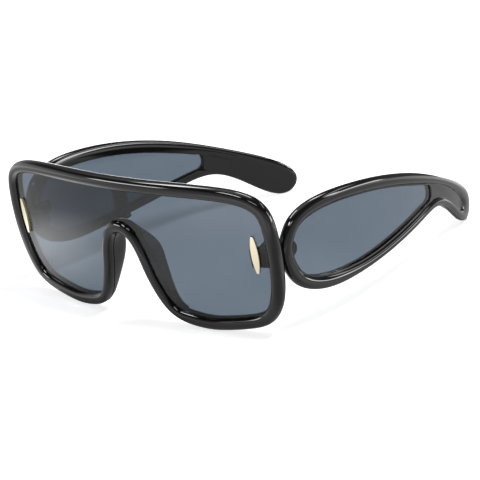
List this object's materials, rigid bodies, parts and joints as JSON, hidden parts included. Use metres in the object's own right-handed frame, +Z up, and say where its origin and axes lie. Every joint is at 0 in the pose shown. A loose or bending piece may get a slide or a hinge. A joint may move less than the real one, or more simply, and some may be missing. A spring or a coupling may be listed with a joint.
{
  "type": "oversized shield sunglasses",
  "caption": "Oversized shield sunglasses: a tinted one-piece shield in a black rounded rim, pointed gold trims, and broad folding temples with tinted side windows.",
  "frame": {"origin": "middle of the base of the open glasses' bounding box, on the surface they stand on", "axes": "+Z up, +X towards the wearer's left, +Y back along the temples, so the shield faces -Y"},
  "size_m": [0.15, 0.1706, 0.0622],
  "materials": {
    "frame": "gloss",
    "temple": "gloss",
    "nose": "satin",
    "lug": "satin",
    "shield": "gloss",
    "side_lens": "gloss",
    "gold": "polished",
    "steel": "satin"
  },
  "bodies": {
    "front": {"front_frame": "frame", "shield_lens": "shield", "nose_piece": "nose", "trim_plaque_left": "gold", "trim_plaque_right": "gold", "hinge_lug_left": "lug", "hinge_lug_right": "lug", "front_hinge_left": "steel", "front_hinge_right": "steel", "front_hinge_rivets_left": "steel", "front_hinge_rivets_right": "steel", "hinge_screw_left": "steel", "hinge_screw_right": "steel"},
    "temple_left": {"temple_hinge_left": "steel", "temple_hinge_rivets_left": "steel", "temple_frame_left": "temple", "side_lens_left": "side_lens"},
    "temple_right": {"temple_hinge_right": "steel", "temple_hinge_rivets_right": "steel", "temple_frame_right": "temple", "side_lens_right": "side_lens"}
  },
  "joints": [
    {"name": "temple_left_fold", "type": "hinge", "parent": "front", "child": "temple_left", "pos_m": [0.06209, -0.06489, 0.03325], "axis": [0, -0.1045, 0.9945], "range_deg": [0, 88]},
    {"name": "temple_right_fold", "type": "hinge", "parent": "front", "child": "temple_right", "pos_m": [-0.06209, -0.06489, 0.03325], "axis": [0, 0.1045, -0.9945], "range_deg": [0, 80]}
  ]
}
